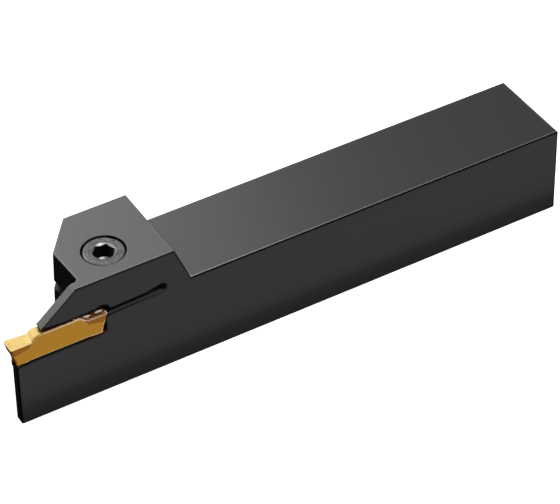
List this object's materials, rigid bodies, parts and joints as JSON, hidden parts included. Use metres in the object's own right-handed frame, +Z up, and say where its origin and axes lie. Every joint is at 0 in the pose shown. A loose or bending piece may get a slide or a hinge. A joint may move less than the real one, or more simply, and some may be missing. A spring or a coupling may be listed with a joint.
{
  "type": "grooving tool holder",
  "caption": "Square-shank lathe tool holder for external grooving, with a thin blade, a spring-slotted clamping head and a double-ended insert held by a socket head screw.",
  "frame": {"origin": "middle of the shank's base face, under the middle of the square bar's length and width", "axes": "+X from the cutting edge to the shank's free end, +Y away from the side the blade lies flush with, +Z up through the shank's top"},
  "size_m": [0.125, 0.0207, 0.0282],
  "materials": {
    "body_steel": "satin blackened steel, finely ground flats",
    "coated_carbide": "gold hard coating over ground carbide",
    "screw_steel": "dull grey oxidised alloy steel"
  },
  "bodies": {
    "root": {"holder_body": "body_steel", "grooving_insert": "coated_carbide", "clamp_screw": "screw_steel"}
  },
  "joints": []
}
